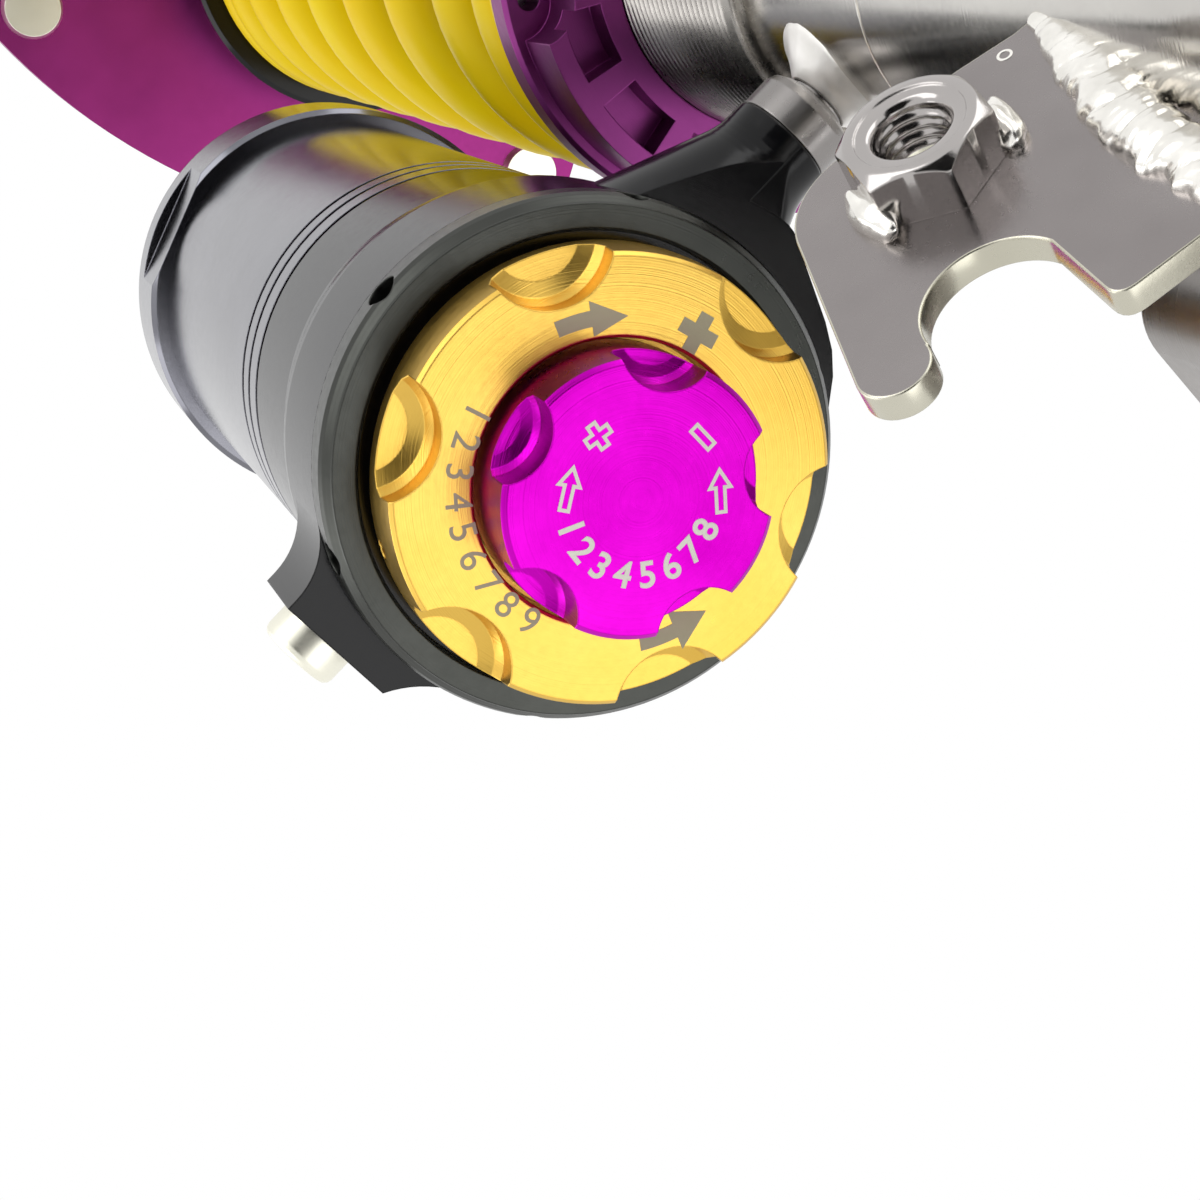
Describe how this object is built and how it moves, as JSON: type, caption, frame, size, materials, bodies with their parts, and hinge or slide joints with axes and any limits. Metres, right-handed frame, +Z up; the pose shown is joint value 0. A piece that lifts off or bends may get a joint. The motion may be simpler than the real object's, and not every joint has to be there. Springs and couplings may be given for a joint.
{
  "type": "suspension coilover strut",
  "caption": "Adjustable coilover strut with a bolted top mount, threaded spring perch, knuckle and link brackets, and a piggyback reservoir with two damping adjusters.",
  "frame": {"origin": "centre of the three tower studs, on the upper face of the top plate, on the strut axis", "axes": "+Z up along the strut axis, +X from the strut axis towards the reservoir, parallel to the transfer fitting; right-handed"},
  "size_m": [0.2069, 0.1669, 0.609],
  "materials": {
    "purple_anodised": "satin anodised",
    "polished_steel": "polished",
    "bright_steel": "turned",
    "dark_steel": "satin",
    "black_anodised": "gloss anodised",
    "grey_anodised": "satin anodised",
    "reservoir_anodised": "gloss anodised",
    "gold_anodised": "satin anodised",
    "magenta_anodised": "satin anodised",
    "spring_paint": "gloss powder coat",
    "plate_steel": "satin",
    "weld_metal": "rippled weld bead",
    "seal_rubber": "matt",
    "bump_foam": "matt foam",
    "bronze": "turned",
    "black_plastic": "matt"
  },
  "bodies": {
    "top_mount": {"top_plate": "purple_anodised", "tower_studs": "bright_steel", "bearing_race": "bright_steel", "bearing_circlip": "dark_steel", "thrust_race_upper": "bright_steel"},
    "bearing_cage": {"thrust_cage": "dark_steel", "thrust_needles": "bright_steel"},
    "rod": {"piston_rod": "polished_steel", "bearing_ball": "bright_steel", "ball_spacers": "bright_steel", "rod_top_nut": "bright_steel", "thrust_race_lower": "bright_steel", "upper_spring_seat": "black_anodised", "bump_cup": "dark_steel", "bump_stop": "bump_foam", "damper_piston": "bright_steel", "piston_band": "seal_rubber", "piston_shims": "bright_steel", "piston_nut": "dark_steel"},
    "rebound_adjuster": {"rebound_knob": "gold_anodised", "rebound_rod": "bright_steel"},
    "strut": {"strut_tube": "polished_steel", "thread_sleeve": "polished_steel", "rod_guide": "bright_steel", "rod_seal": "seal_rubber", "gland_nut": "dark_steel", "rod_wiper": "seal_rubber", "damper_orings": "seal_rubber", "base_plug": "bright_steel", "foot_tube": "polished_steel", "foot_cap": "plate_steel", "knuckle_bracket": "dark_steel", "knuckle_welds": "dark_steel", "link_bracket": "plate_steel", "weld_nut": "bright_steel", "bracket_welds": "weld_metal", "transfer_fitting": "bright_steel", "transfer_weld": "weld_metal", "fitting_oring": "seal_rubber", "reservoir_head": "black_anodised", "head_ring": "grey_anodised", "gallery_plug": "bright_steel", "valve_body": "bright_steel", "valve_shims": "bright_steel", "reservoir_tube": "reservoir_anodised", "reservoir_orings": "seal_rubber", "reservoir_cap": "reservoir_anodised", "gas_valve": "bronze", "gas_valve_cap": "black_plastic"},
    "spring_ring": {"spring_slip_ring": "bright_steel", "main_spring": "spring_paint"},
    "perch": {"spring_perch": "purple_anodised"},
    "gas_piston": {"floating_piston": "bright_steel", "floating_piston_seal": "seal_rubber"},
    "high_speed_adjuster": {"high_speed_knob": "gold_anodised", "high_speed_spindle": "bright_steel", "high_speed_grub_screw": "dark_steel"},
    "low_speed_adjuster": {"low_speed_knob": "magenta_anodised", "low_speed_needle": "bright_steel"}
  },
  "joints": [
    {"name": "steering_swivel", "type": "hinge", "parent": "top_mount", "child": "rod", "pos_m": [0, 0, -0.0095], "axis": [0, 0, 1], "range_deg": [-36, 36]},
    {"name": "cage_spin", "type": "hinge", "parent": "top_mount", "child": "bearing_cage", "pos_m": [0, 0, -0.023], "axis": [0, 0, 1], "range_deg": [-18, 18]},
    {"name": "damper_stroke", "type": "slide", "parent": "rod", "child": "strut", "axis": [0, 0, 1], "range_m": [0, 0.11], "stiffness_N_per_m": 60000, "springref_m": -0.005, "deforming": ["main_spring"]},
    {"name": "gas_piston_slide", "type": "slide", "parent": "strut", "child": "gas_piston", "axis": [0, 0, 1], "range_m": [0, 0.018]},
    {"name": "perch_lift", "type": "slide", "parent": "strut", "child": "spring_ring", "axis": [0, 0, 1], "range_m": [-0.03, 0]},
    {"name": "perch_turn", "type": "hinge", "parent": "spring_ring", "child": "perch", "pos_m": [0, 0, -0.32], "axis": [0, 0, 1], "range_deg": [-5400, 0]},
    {"name": "high_speed_turn", "type": "hinge", "parent": "strut", "child": "high_speed_adjuster", "pos_m": [0.07935, -0.006, -0.405], "axis": [0, 0, 1], "range_deg": [-180, 180]},
    {"name": "low_speed_turn", "type": "hinge", "parent": "strut", "child": "low_speed_adjuster", "pos_m": [0.07935, -0.006, -0.412], "axis": [0, 0, 1], "range_deg": [-180, 180]},
    {"name": "rebound_turn", "type": "hinge", "parent": "rod", "child": "rebound_adjuster", "pos_m": [0, 0, 0.03], "axis": [0, 0, 1], "range_deg": [-180, 180]}
  ],
  "couplings": [
    {"joint": "cage_spin", "follows": "steering_swivel", "ratio": 0.5},
    {"joint": "gas_piston_slide", "follows": "damper_stroke", "ratio": 0.1612},
    {"joint": "perch_lift", "follows": "perch_turn", "m_per_rad": 0.0003183}
  ]
}
